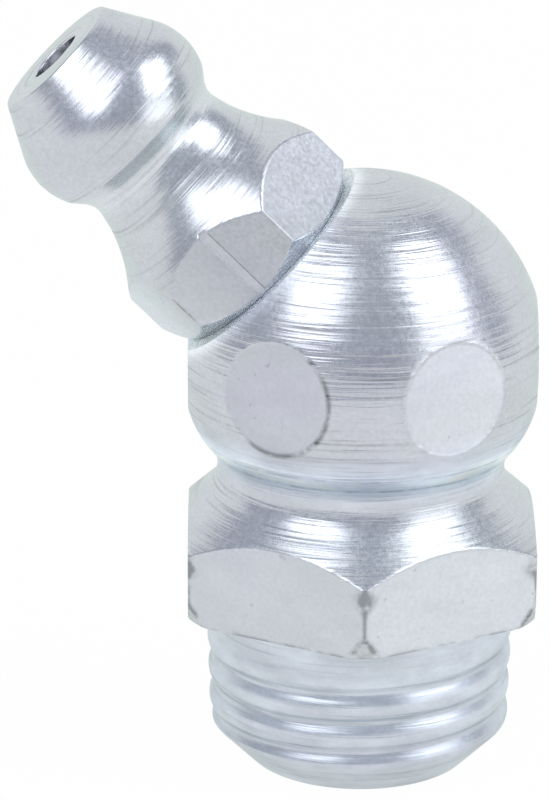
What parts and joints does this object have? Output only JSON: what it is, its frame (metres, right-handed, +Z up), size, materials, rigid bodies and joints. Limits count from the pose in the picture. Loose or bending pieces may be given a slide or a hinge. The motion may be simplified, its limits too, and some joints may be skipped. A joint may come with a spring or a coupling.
{
  "type": "grease nipple",
  "caption": "Angled grease nipple with a hexagon, ball-shaped elbow, taper-threaded shank, slanted coupling head and a spring-loaded ball valve.",
  "frame": {"origin": "centre of the hexagon's underside, on the thread's axis", "axes": "+Z up the thread's axis, two flats of the hexagon square to X, and the coupling head leans towards -X at 45 degrees"},
  "size_m": [0.0166, 0.0126, 0.0247],
  "materials": {
    "body_plating": "bright zinc plating over turned steel",
    "head_plating": "bright zinc plating over turned and hardened steel",
    "ball_steel": "polished bearing steel",
    "spring_wire": "drawn spring steel wire"
  },
  "bodies": {
    "nipple": {"body": "body_plating", "coupling_head": "head_plating", "valve_spring": "spring_wire"},
    "valve": {"valve_ball": "ball_steel"}
  },
  "joints": [
    {"name": "valve_slide", "type": "slide", "parent": "nipple", "child": "valve", "axis": [0.7071, 0, -0.7071], "range_m": [0, 0.0009], "stiffness_N_per_m": 900, "springref_m": -0.0015, "deforming": ["valve_spring"]}
  ]
}
